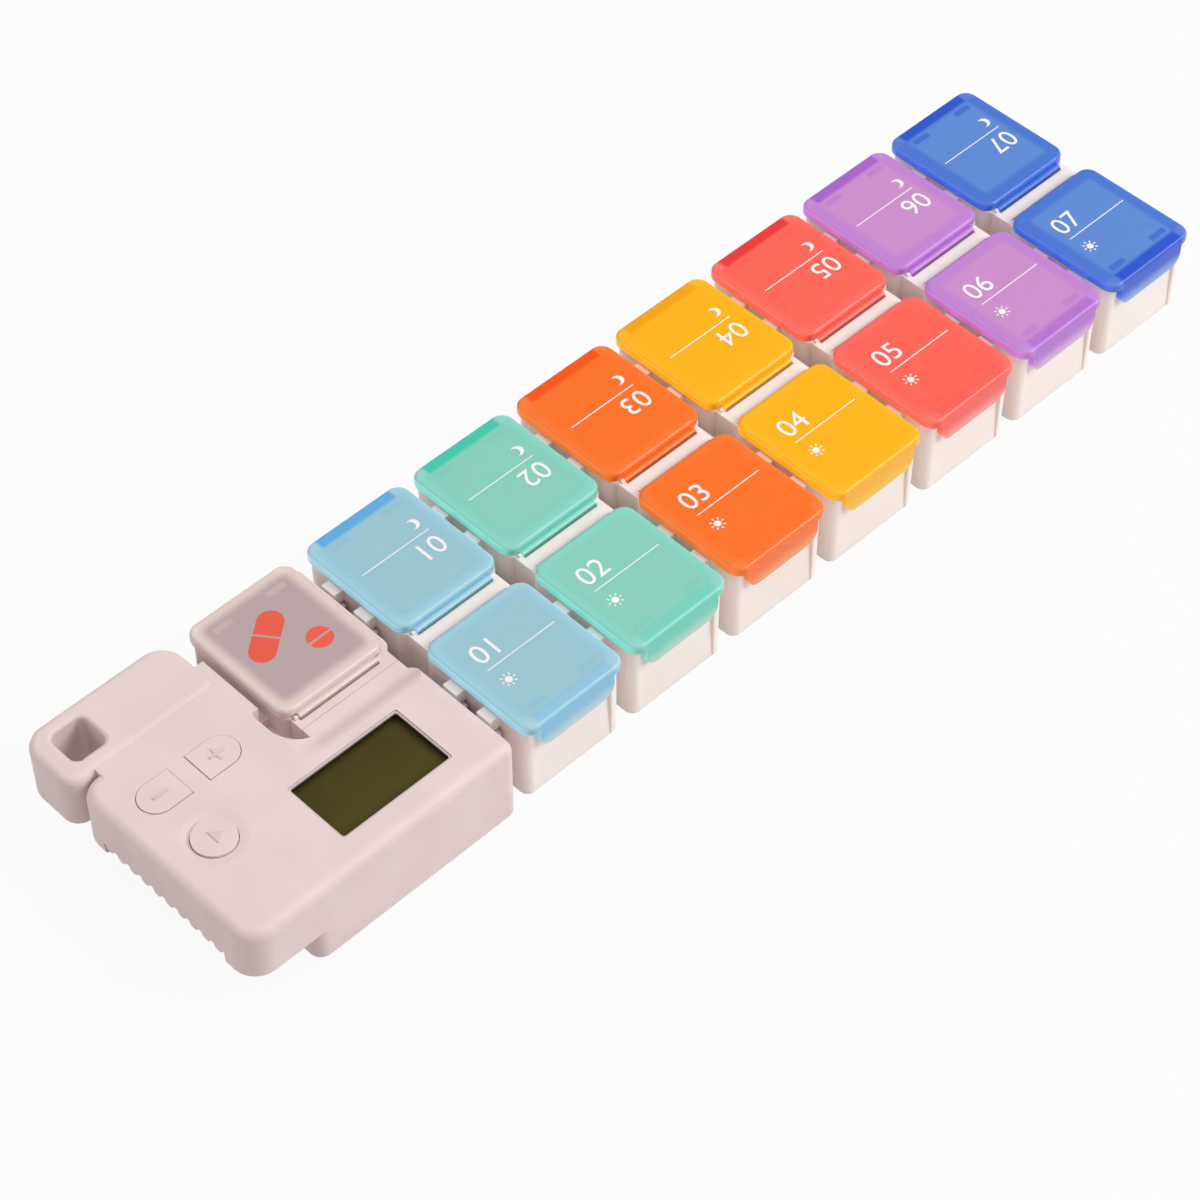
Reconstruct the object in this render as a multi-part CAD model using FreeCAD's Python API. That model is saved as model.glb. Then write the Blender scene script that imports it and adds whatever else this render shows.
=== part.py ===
import FreeCAD, Part
import os
from FreeCAD import Vector

# Pill box with a timer: seven detachable day trays in a row, clipped to a timer at one end.
# All sizes are in millimetres. +X runs along the row away from the timer, +Z is up,
# and the origin is on the table, under the middle of the row.

# Row of day trays
day_count = 7
lid_top = 20.5
overrun = 1.0
touch = 0.001

# Day tray
tray_width = 24.0
tray_reach = 29.7
tray_corner = 2.0
tray_foot = 0.8
side_wall = 1.3
front_wall = 2.6
tray_floor = 1.3
hollow_start = 4.6
hollow_corner = 2.0
hollow_foot = 1.5
side_start = 2.6
bridge_inset = 1.15
rib_drop = 0.3
rib_wall = 1.3
scoop_depth = 0.25

# Lid
lid_side = 0.4
lid_inner = 2.75
lid_overhang = 1.1
lid_edge = 1.9
lid_plate = 1.1
lid_corner = 2.8
lid_round = 0.8
lid_rim = 1.4
lid_gap = 0.15
tab_inset = 3.1
tab_drop = 7.0
tab_thick = 1.6
tab_corner = 2.8
tab_clear = 0.3
catch_inset = 2.4
catch_length = 3.9
catch_thick = 0.9
catch_drop = 0.9
catch_clear = 0.15

# Lid hinge
hinge_offset = 2.5
hinge_drop = 0.3
barrel_radius = 0.9
barrel_inset = 1.45
barrel_clear = 0.2
barrel_end_clear = 0.15
pin_radius = 0.35
pin_length = 0.6
pin_clear = 0.05
pin_end_clear = 0.1
cheek_wall = 0.22
cheek_end = 0.2
cheek_clear = 0.2

# Links between trays
link_gap = 3.0
link_place_shares = (-0.71, -0.41, 0.41, 0.71)
rail_stem_width = 2.2
rail_head_width = 3.6
rail_head_thick = 0.95
rail_top_drop = 0.15
rail_cap_clear = 0.3
channel_back = 0.5
channel_lip = 0.65
channel_jaw = 0.9
channel_foot = 5.0
channel_stop = 1.0
channel_top_drop = 3.45
link_clear = 0.15

# Timer case
timer_proud = 1.0
panel_drop = 0.4
top_depth = 4.6
case_wall = 1.6
case_roof = 1.7
case_floor = 1.8
case_corner = 5.3
case_right_corner = 2.4
case_round = 2.3
case_foot = 1.2
leg_corner = 2.7
panel_back = 16.6
seam_clear = 1.8
shelf_back_inset = 7.7
strip_front = 0.4
strip_clear = 0.1
box_margin = 1.5
overhang_length = 14.55
overhang_depth = 8.1
groove_width = 0.4
groove_depth = 5.5

# Ring end of the timer
ring_side = 0.6
ring_proud = 1.3
ring_shelf = 1.6
ring_corner = 5.3
ring_front_corner = 3.4
ring_tail_corner = 1.8
ring_round = 1.6
ring_hole_inset = 4.4
ring_hole_length = 7.65
ring_hole_margin = 3.3
ring_hole_front = 3.5
ring_hole_corner_share = 0.22
ring_hole_round = 0.8

# Grip under the ring end
grip_front_inset = 7.4
grip_back = 9.6
grip_rise = 3.5
grip_ceiling_wall = 1.0
grip_rib_count = 10
grip_rib_radius = 1.1

# Sloped valley in the top in front of the extra lid, and the round notch at its corner
valley_front = 8.5
valley_foot = 2.5
valley_fade = 5.0
valley_lift = 0.05
notch_side = 1.8
notch_front = 2.6
notch_back = 7.6
notch_corner = 5.0
notch_back_corner = 0.8
notch_depth = 6.6

# Display
window_inset = 10.48
window_length = 25.15
window_front_inset = 6.2
window_back = 10.1
window_corner = 0.6
bezel_thick = 0.4
bezel_clear = 0.05
bezel_drop = 0.25
glass_margin = 1.4
glass_thick = 1.1
strip_width = 1.6
strip_margin = 1.0

# Buttons
key_length = 8.9
key_width = 7.2
key_back_inset = 10.2
key_left_inset = 5.7
key_gap = 4.0
key_to_box = 9.75
key_room = 2.1
round_key_inset = 10.95
round_key_front = 8.9
round_key_radius = 4.25
key_proud = 0.15
key_clear = 0.15
key_flange = 0.7
key_flange_thick = 1.1
key_flange_gap = 0.3
key_travel = 0.6
mark_height = 0.2
mark_length = 3.2
mark_width = 0.7
dimple_width = 1.9
dimple_depth = 0.35

# Inside the timer
board_drop = 3.1
board_thick = 1.2
board_clear = 0.7
glass_room = 0.3
cell_room_drop = 0.9
cell_room_back = 5.0
switch_size = 6.0
switch_height = 2.0
plunger_radius = 1.7
plunger_clear = 0.15
chip_radius = 4.0
chip_height = 1.2
chip_inset = 25.0
buzzer_radius = 6.0
buzzer_height = 6.0
buzzer_inset = 14.0
sound_slot_length = 8.0
sound_slot_width = 1.2
sound_slot_pitch = 2.6

# Coin cell, its contacts and its door
cell_radius = 8.0
cell_thick = 3.2
cell_end = 0.5
cell_front = 6.0
cell_lift = 0.4
well_clear = 0.2
well_wall = 1.2
well_rise = 0.3
contact_thick = 0.3
contact_width = 4.0
contact_foot_length = 4.0
contact_slot_clear = 0.5
contact_gap = 0.05
door_box_gap = 0.55
door_side = 0.6
door_tongue = 1.0
door_lift = 0.3
door_face_thick = 0.8
door_tongue_thick = 0.8
door_clear = 0.2
door_end_inset = 0.3
door_rail_wall = 1.6
door_roof = 1.1
door_groove_count = 4
door_groove_pitch = 2.4
door_groove_width = 1.0
door_groove_depth = 0.3
door_groove_length = 12.0
door_groove_inset = 3.0

# Screws and posts
post_radius = 2.6
boss_radius = 2.0
screw_radius = 1.0
screw_clear = 0.15
screw_head_radius = 1.9
screw_head_height = 1.4
screw_sink = 2.0
screw_bite = 3.6
post_left_inset = 3.0
post_right_inset = 4.75
post_front_inset = 4.8
post_back_inset = 2.6
post_middle_inset = 3.2

# Worked-out heights
lid_bottom = lid_top - lid_edge
tray_rim = lid_bottom - lid_gap
rib_top = tray_rim - rib_drop
hinge_height = tray_rim - hinge_drop
channel_top = tray_rim - channel_top_drop
case_top = lid_top - panel_drop
case_parting = case_top - top_depth
roof = case_top - case_roof
board_foot = case_parting - board_drop
board_top = board_foot + board_thick
cell_room_top = board_foot - cell_room_drop
overhang_height = case_parting - overhang_depth
grip_ceiling = overhang_height + grip_rise
notch_floor = case_top - notch_depth
door_top = door_lift + door_face_thick + door_tongue_thick
pad_top = door_top + door_clear + door_roof
cell_foot = door_top + cell_lift
well_top = cell_foot + cell_thick + well_rise
key_foot = roof - key_flange_gap - key_flange_thick

# Worked-out places across the row
lid_reach = tray_reach + lid_overhang
timer_reach = tray_reach + timer_proud
ring_reach = timer_reach + ring_proud
ring_front = panel_back + groove_width
shelf_back = timer_reach - shelf_back_inset
grip_front = timer_reach - grip_front_inset
inner_front = -timer_reach + case_wall
inner_panel_back = panel_back - case_wall
window_front = timer_reach - window_front_inset
window_middle = (window_front + window_back) / 2
inner_front_back = window_back - glass_margin - glass_room
key_middle = inner_panel_back - key_back_inset
door_middle = -cell_front

# Worked-out places along the row
tray_half = tray_width / 2
day_pitch = tray_width + link_gap
lid_width = tray_width + 2 * lid_side
tab_half = lid_width / 2 - tab_inset
bridge_half = tray_half - bridge_inset
barrel_half = bridge_half - barrel_inset
slot_half = barrel_half + barrel_end_clear
pin_half = barrel_half + pin_length
pin_room = pin_half + pin_end_clear
cheek_half = pin_room + cheek_end
cheek_radius = pin_radius + pin_clear + cheek_wall
catch_end = tray_half - side_wall - catch_inset
channel_room = channel_back + rail_head_thick + 2 * link_clear
channel_reach = channel_room + channel_lip
keys_length = 2 * key_length + key_gap
timer_length = key_left_inset + keys_length + key_to_box + tray_width + box_margin
row_length = timer_length + day_count * day_pitch + channel_reach
timer_left = -row_length / 2
timer_right = timer_left + timer_length
first_day = timer_right + link_gap + tray_half
box_middle = timer_right - box_margin - tray_half
box_left = box_middle - tray_half
strip_left = box_middle - bridge_half
seam = box_middle - lid_width / 2 - seam_clear
step = timer_left + overhang_length
ring_left = timer_left - ring_side
ring_right = seam - ring_shelf
inner_left = timer_left + case_wall
inner_right = timer_right - case_wall
room_corner = case_corner - case_wall
panel_right = timer_left + key_left_inset + keys_length + key_room
window_right = timer_right - window_inset
window_left = window_right - window_length
door_length = box_left - step - door_box_gap
door_face_half = cell_radius + well_clear + door_side
cell_middle = Vector(step + door_length - cell_end - well_clear - cell_radius, -cell_front, 0)
screw_places = [
    (step + post_left_inset, -timer_reach + post_front_inset),
    (timer_right - post_right_inset, -timer_reach + post_front_inset),
    (step + post_left_inset, inner_panel_back - post_back_inset),
    (timer_right - post_right_inset, -inner_front_back - post_middle_inset),
]

ACROSS = Vector(1, 0, 0)
UP = Vector(0, 0, 1)
CENTRE = Vector(0, 0, 0)


# Shape helpers
def block(low_x, high_x, low_y, high_y, low_z, high_z):
    return Part.makeBox(high_x - low_x, high_y - low_y, high_z - low_z, Vector(low_x, low_y, low_z))


def upright_edges(solid):
    found = []
    for edge in solid.Edges:
        box = edge.BoundBox
        if box.XLength < touch and box.YLength < touch:
            found.append(edge)
    return found


def level_edges(solid, height):
    found = []
    for edge in solid.Edges:
        box = edge.BoundBox
        if abs(box.ZMin - height) < touch and abs(box.ZMax - height) < touch:
            found.append(edge)
    return found


def rounded_block(low_x, high_x, low_y, high_y, low_z, high_z, corner):
    solid = block(low_x, high_x, low_y, high_y, low_z, high_z)
    return solid.makeFillet(corner, upright_edges(solid))


def rounded_corners(solid, corners):
    """Round upright edges, each found by its (x, y) place and given its own radius."""
    for x, y, radius in corners:
        place = Vector(x, y, 0)
        edges = [edge for edge in upright_edges(solid)
                 if place.distanceToPoint(Vector(edge.BoundBox.XMin, edge.BoundBox.YMin, 0)) < touch]
        solid = solid.makeFillet(radius, edges)
    return solid


def rounded_level(solid, height, radius):
    return solid.makeFillet(radius, level_edges(solid, height))


def post(radius, x, y, low_z, high_z):
    return Part.makeCylinder(radius, high_z - low_z, Vector(x, y, low_z), UP)


def bar(radius, low_x, high_x, y, z):
    return Part.makeCylinder(radius, high_x - low_x, Vector(low_x, y, z), ACROSS)


def prism_across(points, low_x, high_x):
    """Extrude an outline of (y, z) points along the row."""
    corners = [Vector(low_x, y, z) for y, z in points]
    face = Part.Face(Part.makePolygon(corners + corners[:1]))
    return face.extrude(Vector(high_x - low_x, 0, 0))


def turned(solid, angle=180):
    copy = solid.copy()
    copy.rotate(CENTRE, UP, angle)
    return copy


def moved(solid, x):
    copy = solid.copy()
    copy.translate(Vector(x, 0, 0))
    return copy


def joined(first, others):
    return first.fuse(others).removeSplitter()


# Lid, drawn over the compartment at -Y of a tray that stands at the origin
def lid_tab():
    inner = -lid_reach + tab_thick
    low = lid_top - tab_drop
    tab = block(-tab_half, tab_half, -lid_reach, inner, low, lid_top - lid_plate)
    lower = [edge for edge in level_edges(tab, low) if edge.BoundBox.XLength < touch]
    return tab.makeFillet(tab_corner, lower)


def lid_catches():
    outer = -(tray_reach - front_wall - catch_clear)
    low = tray_rim - catch_drop
    catches = []
    for low_x in (-catch_end, catch_end - catch_length):
        high_x = low_x + catch_length
        catches.append(block(low_x, high_x, outer, outer + catch_thick, low, lid_top - lid_plate))
    return catches


def cheek_reliefs():
    grow = cheek_radius + cheek_clear
    end = cheek_half + cheek_clear
    reliefs = []
    for low_x, high_x in ((barrel_half, end), (-end, -barrel_half)):
        reliefs.append(block(low_x, high_x, -hinge_offset - grow, -lid_inner + overrun,
                             lid_bottom - overrun, hinge_height + grow))
    return reliefs


def lid():
    half = lid_width / 2
    plate = rounded_block(-half, half, -lid_reach, -lid_inner, lid_bottom, lid_top, lid_corner)
    plate = rounded_level(plate, lid_top, lid_round)
    hollow = rounded_block(-half + lid_rim, half - lid_rim, -lid_reach + tab_thick, -lid_inner - lid_rim,
                           lid_bottom - overrun, lid_top - lid_plate, lid_corner - lid_rim)
    plate = plate.cut([hollow] + cheek_reliefs())
    barrel = bar(barrel_radius, -barrel_half, barrel_half, -hinge_offset, hinge_height)
    pins = bar(pin_radius, -pin_half, pin_half, -hinge_offset, hinge_height)
    return joined(plate, [lid_tab(), barrel, pins] + lid_catches())


# Compartment features, all at -Y, shared by the day trays and the timer's extra compartment
def hollow_space():
    inner_half = tray_half - side_wall
    space = rounded_block(-inner_half, inner_half, -tray_reach + front_wall, -hollow_start,
                          tray_floor, tray_rim + overrun, hollow_corner)
    return rounded_level(space, tray_floor, hollow_foot)


def hinge_slot():
    near = hinge_offset - barrel_radius - barrel_clear
    far = hinge_offset + barrel_radius + barrel_clear
    low = hinge_height - barrel_radius - barrel_clear
    return block(-slot_half, slot_half, -far, -near, low, tray_rim + overrun)


def hinge_cheeks():
    spans = ((slot_half, cheek_half), (-cheek_half, -slot_half))
    return [bar(cheek_radius, low_x, high_x, -hinge_offset, hinge_height) for low_x, high_x in spans]


def pin_holes():
    return bar(pin_radius + pin_clear, -pin_room, pin_room, -hinge_offset, hinge_height)


def tab_scoop():
    half = tab_half + tab_clear
    back = -(lid_reach - tab_thick - tab_clear)
    foot = -tray_reach + scoop_depth
    low = lid_top - tab_drop - tab_clear
    outside = -tray_reach - overrun
    points = [(outside, tray_rim + overrun), (back, tray_rim + overrun), (back, low),
              (foot, 0), (foot, -overrun), (outside, -overrun)]
    return prism_across(points, -half, half)


def fitted_out(body, sides):
    """Cut the compartments, slots and scoops, and stand the hinge cheeks on the rib."""
    cuts = []
    cheeks = []
    holes = []
    for angle in sides:
        cuts += [turned(tool, angle) for tool in (hollow_space(), hinge_slot(), tab_scoop())]
        cheeks += [turned(cheek, angle) for cheek in hinge_cheeks()]
        holes.append(turned(pin_holes(), angle))
    return body.cut(cuts).fuse(cheeks).cut(holes).removeSplitter()


# Links: a rail on the -X wall slides down into a channel on the neighbour's +X wall
def link_rail(y):
    head_x = -tray_half - link_gap + channel_back + link_clear
    low = channel_foot + channel_stop + link_clear
    high = tray_rim - rail_top_drop
    head_half = rail_head_width / 2
    stem_half = rail_stem_width / 2
    head = block(head_x, head_x + rail_head_thick, y - head_half, y + head_half, low, high)
    wall_x = -tray_half + side_wall / 2
    stem = block(head_x, wall_x, y - stem_half, y + stem_half, low, high)
    cap = block(head_x, wall_x, y - head_half, y + head_half, channel_top + rail_cap_clear, high)
    return head.fuse([stem, cap])


def link_channel(wall_x, y):
    head_half = rail_head_width / 2 + link_clear
    stem_half = rail_stem_width / 2 + link_clear
    jaw_half = head_half + channel_jaw
    low = channel_foot + channel_stop
    room_x = wall_x + channel_back
    end_x = wall_x + channel_reach
    jaw = block(wall_x - side_wall / 2, end_x, y - jaw_half, y + jaw_half, channel_foot, channel_top)
    room = block(room_x, wall_x + channel_room, y - head_half, y + head_half, low, channel_top + overrun)
    mouth = block(room_x, end_x + overrun, y - stem_half, y + stem_half, low, channel_top + overrun)
    return jaw.cut([room, mouth])


def link_places():
    return [tray_reach * share for share in link_place_shares]


def rib_space():
    """Hollow under the rib, open at the table, as a moulding is cored out."""
    half_x = bridge_half - rib_wall
    half_y = hollow_start - rib_wall
    high = hinge_height - barrel_radius - barrel_clear - rib_wall
    return block(-half_x, half_x, -half_y, half_y, -overrun, high)


def day_tray():
    half = rounded_block(-tray_half, tray_half, -tray_reach, -side_start, 0, tray_rim, tray_corner)
    half = rounded_level(half, 0, tray_foot)
    bridge = block(-bridge_half, bridge_half, -hollow_start, hollow_start, 0, rib_top)
    body = fitted_out(half.fuse([turned(half), bridge]), (0, 180)).cut(rib_space())
    rails = [link_rail(y) for y in link_places()]
    channels = [link_channel(tray_half, y) for y in link_places()]
    return joined(body, rails + channels)


# Timer case outline, block by block
def front_block(low_z, high_z, low_x, corner):
    body = block(low_x, timer_right, -timer_reach, -side_start, low_z, high_z)
    return rounded_corners(body, [(low_x, -timer_reach, corner), (low_x, -side_start, corner),
                                  (timer_right, -timer_reach, case_right_corner),
                                  (timer_right, -side_start, case_right_corner)])


def panel_block(low_z, high_z, low_x, back, corner):
    return rounded_block(low_x, seam + 2 * case_corner, -timer_reach, back, low_z, high_z, corner)


def ring_block(low_z, high_z, high_x):
    body = block(ring_left, high_x, ring_front, ring_reach, low_z, high_z)
    return rounded_corners(body, [(ring_left, ring_front, ring_front_corner),
                                  (ring_left, ring_reach, ring_corner),
                                  (high_x, ring_front, ring_tail_corner),
                                  (high_x, ring_reach, ring_corner)])


def joining_block(low_z, high_z):
    front = panel_back - case_corner
    return block(timer_left + groove_depth, seam, front, shelf_back, low_z, high_z)


def ring_hole():
    low_x = ring_left + ring_hole_inset
    low_y = ring_front + ring_hole_front
    high_y = ring_reach - ring_hole_margin
    return rounded_block(low_x, low_x + ring_hole_length, low_y, high_y, -overrun, lid_top + overrun,
                         (high_y - low_y) * ring_hole_corner_share)


def hole_rim(ring):
    """Top edges of the hole in the ring end."""
    around = ring_hole().BoundBox
    around.enlarge(touch)
    return [edge for edge in level_edges(ring, lid_top) if around.isInside(edge.BoundBox)]


def notch():
    low_x = seam - notch_side
    body = block(low_x, strip_left, -notch_front, notch_back, notch_floor, lid_top + overrun)
    return rounded_corners(body, [(low_x, -notch_front, notch_corner),
                                  (low_x, notch_back, notch_back_corner)])


def strip_shelf():
    """Low part of the top case that reaches back to the extra compartment's rib."""
    return block(seam, timer_right - bridge_inset, -side_start - case_round, -strip_front,
                 case_parting, rib_top)


def beside_box(low_z, high_z):
    """The space that the extra compartment and its rib take out of the case."""
    return block(seam, timer_right + overrun, -strip_front, timer_reach + overrun, low_z, high_z)


def valley_outline(x, low_z):
    """Section of the valley across the row: a soft S from the top down to its floor."""
    high = case_top + valley_lift
    above = case_top + overrun
    middle = -(valley_front + valley_foot) / 2
    slope = Part.BezierCurve()
    slope.setPoles([Vector(x, -valley_front, high), Vector(x, middle, high),
                    Vector(x, middle, low_z), Vector(x, -valley_foot, low_z)])
    corners = [Vector(x, -valley_foot, low_z), Vector(x, overrun, low_z), Vector(x, overrun, above),
               Vector(x, -valley_front, above), Vector(x, -valley_front, high)]
    sides = [Part.makeLine(first, second) for first, second in zip(corners, corners[1:])]
    return Part.Wire([slope.toShape()] + sides)


def valley():
    full = valley_outline(strip_left, rib_top)
    faded = valley_outline(strip_left - valley_fade, case_top + valley_lift)
    deep = Part.Face(full).extrude(Vector(timer_right + overrun - strip_left, 0, 0))
    return deep.fuse(Part.makeLoft([full, faded], True, True))


# Button outlines; a D shape has its round end at +X or -X
def d_shape(flat_x, round_x, grow, low_z, high_z):
    radius = key_width / 2 + grow
    way = 1 if round_x > flat_x else -1
    middle_x = round_x - way * key_width / 2
    flat = flat_x - way * grow
    body = block(min(flat, middle_x), max(flat, middle_x), key_middle - radius, key_middle + radius,
                 low_z, high_z)
    return joined(body, [post(radius, middle_x, key_middle, low_z, high_z)])


def key_spans():
    left = timer_left + key_left_inset
    right = left + key_length + key_gap
    return {"minus": (left + key_length, left), "plus": (right, right + key_length)}


def round_key_place():
    return timer_left + round_key_inset, -round_key_front


def key_solid(name, grow, low_z, high_z):
    if name == "start":
        x, y = round_key_place()
        return post(round_key_radius + grow, x, y, low_z, high_z)
    flat_x, round_x = key_spans()[name]
    return d_shape(flat_x, round_x, grow, low_z, high_z)


def key_centre(name):
    if name == "start":
        return round_key_place()
    return sum(key_spans()[name]) / 2, key_middle


def key_mark(name):
    """Raised sign on a button: a plus, a minus or a start triangle."""
    x, y = key_centre(name)
    low = case_top + key_proud - mark_height
    high = case_top + key_proud + mark_height
    half = mark_length / 2
    thin = mark_width / 2
    if name == "start":
        corners = [Vector(x - thin, y - half, low), Vector(x - thin, y + half, low), Vector(x + half, y, low)]
        face = Part.Face(Part.makePolygon(corners + corners[:1]))
        return face.extrude(Vector(0, 0, high - low))
    dash = block(x - half, x + half, y - thin, y + thin, low, high)
    if name == "minus":
        return dash
    return joined(dash, [block(x - thin, x + thin, y - half, y + half, low, high)])


def button(name):
    cap = key_solid(name, 0, key_foot, case_top + key_proud)
    flange = key_solid(name, key_flange, key_foot, key_foot + key_flange_thick)
    return joined(cap, [flange, key_mark(name)])


def start_dimple():
    """Shallow dish in the case around the start button."""
    x, y = round_key_place()
    return Part.makeCone(round_key_radius, round_key_radius + 2 * dimple_width, 2 * dimple_depth,
                         Vector(x, y, case_top - dimple_depth), UP)


KEYS = ("plus", "minus", "start")


# Timer top case
def window_hole(shrink, low_z, high_z):
    grow = bezel_thick - shrink
    return rounded_block(window_left - grow, window_right + grow, -window_front - grow, -window_back + grow,
                         low_z, high_z, window_corner)


def inner_rooms(low_z, high_z):
    front = rounded_block(inner_left, inner_right, inner_front, -inner_front_back, low_z, high_z, room_corner)
    panel = rounded_block(inner_left, panel_right, inner_front, inner_panel_back, low_z, high_z, room_corner)
    return [front, panel]


def timer_top_case():
    front = rounded_level(front_block(case_parting, case_top, timer_left, case_corner), case_top, case_round)
    panel = panel_block(case_parting, case_top, timer_left, panel_back, case_corner)
    panel = rounded_level(panel, case_top, case_round)
    ring = rounded_level(ring_block(case_parting, lid_top, ring_right), lid_top, ring_round)
    ring = ring.cut(ring_hole())
    ring = ring.makeFillet(ring_hole_round, hole_rim(ring))
    case = front.fuse([panel, joining_block(case_parting, case_top), strip_shelf()])
    case = case.cut([beside_box(case_parting - overrun, lid_top + overrun), valley(), notch(), ring_hole()])
    case = case.fuse(ring)
    cuts = inner_rooms(case_parting - overrun, roof)
    cuts.append(window_hole(0, roof - overrun, lid_top))
    cuts += [key_solid(name, key_clear, roof - overrun, lid_top) for name in KEYS]
    cuts.append(start_dimple())
    case = case.cut(cuts)
    posts = [post(boss_radius, x, y, board_top, roof + case_roof / 2) for x, y in screw_places]
    pilots = [post(screw_radius, x, y, board_top - overrun, board_top + screw_bite) for x, y in screw_places]
    return case.fuse(posts).cut(pilots).removeSplitter()


# Timer bottom case
def bottom_outline():
    """Solid lower case: the full-height part, the raised ring end and the ground under the extra box."""
    main = rounded_level(front_block(0, case_parting, step, leg_corner), 0, case_foot)
    rear = rounded_level(panel_block(0, case_parting, step, timer_reach, leg_corner), 0, case_foot)
    rear = rear.cut(beside_box(-overrun, lid_top))
    end = step + 2 * case_corner
    raised = rounded_block(timer_left, end, -timer_reach, panel_back, overhang_height, case_parting,
                           case_corner)
    raised = rounded_level(raised, overhang_height, case_foot)
    ring = rounded_level(ring_block(overhang_height, case_parting, end), overhang_height, case_foot)
    bridge = block(timer_left + groove_depth, end, panel_back - case_corner, shelf_back,
                   overhang_height, case_parting)
    outline = main.fuse([rear, raised, ring, bridge])
    return outline.cut([notch(), ring_hole(), grip_space()]).fuse(grip_ribs())


def grip_space():
    return block(timer_left - overrun, step - case_foot, -grip_front, grip_back, 0, grip_ceiling)


def grip_ribs():
    pitch = (grip_front + grip_back) / grip_rib_count
    ribs = []
    for index in range(grip_rib_count):
        y = -grip_front + pitch * (index + 1 / 2)
        rib = bar(grip_rib_radius, timer_left, step, y, grip_ceiling)
        room = block(timer_left, step, y - pitch, y + pitch, 0, grip_ceiling + grip_ceiling_wall)
        ribs.append(rib.common(room))
    return ribs


def extra_box():
    """Extra compartment with its rib, drawn at its place beside the display."""
    low_x = -tray_half
    high_x = timer_right - box_middle
    half = rounded_block(low_x, high_x, -tray_reach, -side_start, 0, tray_rim, tray_corner)
    half = rounded_level(half, 0, tray_foot)
    front = strip_front - strip_clear
    strip = block(-bridge_half, high_x - bridge_inset, -hollow_start, front, case_parting, rib_top)
    body = turned(fitted_out(turned_box(half, strip), (0,)))
    return moved(body, box_middle)


def turned_box(half, strip):
    """Mirror the box in X, so that the half turn that follows puts it the right way round."""
    return half.fuse(strip).mirror(CENTRE, ACROSS)


def under_box():
    """Walls below the rib, between the main room and the extra box."""
    low_x = seam - 2 * case_corner
    high_x = timer_right - bridge_inset
    rib = block(low_x, high_x, -side_start - case_corner, hollow_start, 0, case_parting)
    side = block(seam - case_corner, box_left + side_wall / 2, hollow_start, shelf_back, 0, case_parting)
    return [rib.cut(notch()), side.cut(notch())]


def door_pad():
    half = door_face_half + door_tongue + door_clear + door_rail_wall
    end = step + door_length + door_rail_wall
    return block(step + case_foot, end, door_middle - half, door_middle + half, 0, pad_top)


def cell_well():
    return post(cell_radius + well_clear + well_wall, cell_middle.x, cell_middle.y, case_floor, well_top)


def door_channel():
    end = step + door_length + door_clear
    face_half = door_face_half + door_clear
    tongue_half = face_half + door_tongue
    tongue_low = door_lift + door_face_thick - door_clear
    face = block(step - overrun, end, door_middle - face_half, door_middle + face_half, -overrun, tongue_low)
    tongue = block(step - overrun, end, door_middle - tongue_half, door_middle + tongue_half,
                   tongue_low, door_top + door_clear)
    return [face, tongue]


def contact_slot():
    """Gap in the well's wall for the side contact, on the side towards the ring end."""
    x = cell_middle.x - cell_radius
    half = contact_width / 2 + contact_slot_clear
    return block(x - well_clear - well_wall - overrun, x + overrun, -cell_front - half, -cell_front + half,
                 pad_top, board_foot)


def sound_slots():
    x = timer_right - buzzer_inset
    half = sound_slot_length / 2
    thin = sound_slot_width / 2
    slots = []
    for index in (-1, 0, 1):
        y = -window_middle + index * sound_slot_pitch
        slots.append(block(x - half, x + half, y - thin, y + thin, -overrun, case_floor + overrun))
    return slots


def lower_rooms():
    deep_left = step + case_wall
    front = block(deep_left, inner_right, inner_front, -inner_front_back, case_floor, case_parting + overrun)
    panel = block(deep_left, panel_right, inner_front, inner_panel_back, case_floor, case_parting + overrun)
    cell = block(deep_left, cell_middle.x + cell_radius + well_wall, inner_front, cell_room_back,
                 case_floor, cell_room_top)
    raised = inner_rooms(grip_ceiling + grip_ceiling_wall, case_parting + overrun)
    rear = block(deep_left, seam - case_corner - case_wall, panel_back, timer_reach - case_wall,
                 case_floor, case_parting + overrun)
    return [front, panel, cell, rear] + raised


def timer_bottom_case():
    case = bottom_outline().fuse(under_box()).cut(lower_rooms())
    posts = [post(post_radius, x, y, 0, board_foot) for x, y in screw_places]
    channels = [link_channel(timer_right, y) for y in link_places()]
    case = case.fuse([door_pad(), cell_well()] + posts + channels)
    cuts = door_channel() + [contact_slot()] + sound_slots()
    cuts.append(post(cell_radius + well_clear, cell_middle.x, cell_middle.y, -overrun, well_top + overrun))
    for x, y in screw_places:
        cuts.append(post(screw_radius + screw_clear, x, y, -overrun, board_foot + overrun))
        cuts.append(post(screw_head_radius + screw_clear, x, y, -overrun, screw_sink + screw_head_height))
    return joined(case.cut(cuts), [extra_box()])


# Display
def display_glass():
    return block(window_left - glass_margin, window_right + glass_margin, -window_front - glass_margin,
                 -window_back + glass_margin, roof - glass_thick, roof)


def display_bezel():
    outer = window_hole(bezel_clear, roof, case_top - bezel_drop)
    return outer.cut(window_hole(bezel_thick, roof - overrun, lid_top))


def display_connector():
    low_y = -window_front - glass_margin + strip_margin
    return block(window_left, window_right, low_y, low_y + strip_width, board_top, roof - glass_thick)


# Electronics
def circuit_board():
    low_x = inner_left + board_clear
    low_y = inner_front + board_clear
    corner = room_corner - board_clear
    front = rounded_block(low_x, inner_right - board_clear, low_y, -inner_front_back - board_clear,
                          board_foot, board_top, corner)
    panel = rounded_block(low_x, panel_right - board_clear, low_y, inner_panel_back - board_clear,
                          board_foot, board_top, corner)
    holes = [post(screw_radius + screw_clear, x, y, board_foot - overrun, board_top + overrun)
             for x, y in screw_places]
    return joined(front, [panel]).cut(holes)


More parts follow.
